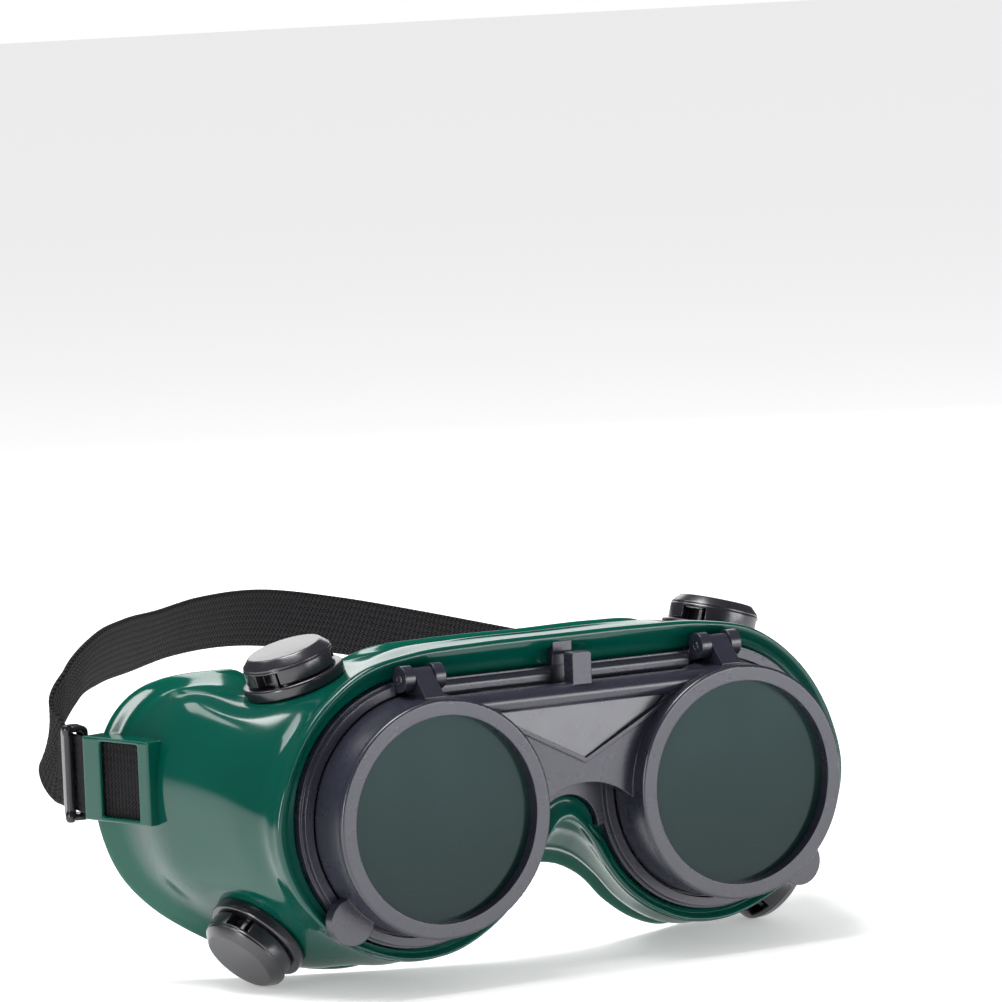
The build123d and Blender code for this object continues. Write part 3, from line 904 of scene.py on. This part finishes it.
AZIMUTH, ELEVATION, ROLL = math.radians(-31.8), math.radians(8.5), math.radians(-2.0)
DISTANCE = 1.5
IMAGE = 1002
PIXELS_PER_METRE = 4440
OBJECT_RIGHT, OBJECT_DOWN = 0.0963, 0.2992

back = Vector((
    math.sin(AZIMUTH) * math.cos(ELEVATION),
    -math.cos(AZIMUTH) * math.cos(ELEVATION),
    math.sin(ELEVATION),
))
right = Vector((math.cos(AZIMUTH), math.sin(AZIMUTH), 0))
up = back.cross(right)
right, up = (
    right * math.cos(ROLL) + up * math.sin(ROLL),
    up * math.cos(ROLL) - right * math.sin(ROLL),
)
camera_data = bpy.data.cameras.new("camera")
camera_data.sensor_width = 36
camera_data.lens = PIXELS_PER_METRE * DISTANCE / IMAGE * camera_data.sensor_width
camera_data.shift_x = -OBJECT_RIGHT
camera_data.shift_y = OBJECT_DOWN
camera_data.clip_end = 20
camera = bpy.data.objects.new("camera", camera_data)
camera.matrix_world = Matrix((
    (right.x, up.x, back.x, back.x * DISTANCE),
    (right.y, up.y, back.y, back.y * DISTANCE),
    (right.z, up.z, back.z, back.z * DISTANCE),
    (0, 0, 0, 1),
))
bpy.context.scene.collection.objects.link(camera)
bpy.context.scene.camera = camera


LIGHTS_AIM = Vector((0, 0.05, 0))


def softbox(name, direction, distance, size, power):
    """A large area light that faces the goggles from a direction."""
    data = bpy.data.lights.new(name, "AREA")
    data.shape = "RECTANGLE"
    data.size, data.size_y = size
    data.energy = power
    light = bpy.data.objects.new(name, data)
    away = Vector(direction).normalized()
    light.location = away * distance + LIGHTS_AIM
    light.rotation_euler = away.to_track_quat("Z", "Y").to_euler()
    light.visible_camera = False
    bpy.context.scene.collection.objects.link(light)
    return light


softbox("top_box", (-0.2, 0.1, 1), 0.9, (0.55, 0.4), 9)
softbox("front_right_box", (0.52, -0.86, 0.14), 1.3, (0.8, 0.36), 5)

# These two only show as reflections: a bluish glow on the front faces, and a line down the edge
glow_box = softbox("glow_box", (0.52, -0.84, -0.18), 1.3, (0.9, 0.44), 25)
glow_box.visible_diffuse = False
glow_box.data.color = (0.80, 0.84, 1.0)
side_strip = softbox("side_strip", (-0.95, -0.30, -0.02), 1.2, (0.26, 0.8), 11)
side_strip.visible_diffuse = False

softbox("back_box", (0.37, 0.86, 0.36), 1.2, (0.9, 0.5), 3)
softbox("left_back_box", (-0.42, 0.5, 0.75), 1.1, (0.4, 0.3), 2)


FILL, GLOSSY_FILL = 0.62, 0.10
FLOOR_SIZE = 12


def studio_world():
    """White behind the object, an even fill on it, and dark gaps between lights in reflections."""
    world = bpy.data.worlds.new("studio")
    world.use_nodes = True
    tree = world.node_tree
    path = tree.nodes.new("ShaderNodeLightPath")
    glossy = add_node(tree, "ShaderNodeMapRange")
    glossy.inputs["To Min"].default_value = FILL
    glossy.inputs["To Max"].default_value = GLOSSY_FILL
    tree.links.new(path.outputs["Is Glossy Ray"], glossy.inputs["Value"])
    strength = add_node(tree, "ShaderNodeMath", operation="MAXIMUM")
    tree.links.new(path.outputs["Is Camera Ray"], strength.inputs[0])
    tree.links.new(glossy.outputs["Result"], strength.inputs[1])
    tree.nodes["Background"].inputs["Color"].default_value = (1, 1, 1, 1)
    tree.links.new(strength.outputs["Value"], tree.nodes["Background"].inputs["Strength"])
    bpy.context.scene.world = world


studio_world()
bpy.context.scene.view_settings.view_transform = "Standard"

floor_material, _, floor_shader = new_material("pale_floor")
floor_shader.inputs["Base Color"].default_value = (0.93, 0.93, 0.93, 1)
floor_shader.inputs["Roughness"].default_value = 0.9
floor_shader.inputs["Emission Color"].default_value = (1, 1, 1, 1)
floor_shader.inputs["Emission Strength"].default_value = 0.3
bpy.ops.mesh.primitive_plane_add(size=FLOOR_SIZE, location=(0, 0, cad_bounds[0][2]))
floor = bpy.context.object
floor.name = "floor"
floor.data.materials.append(floor_material)
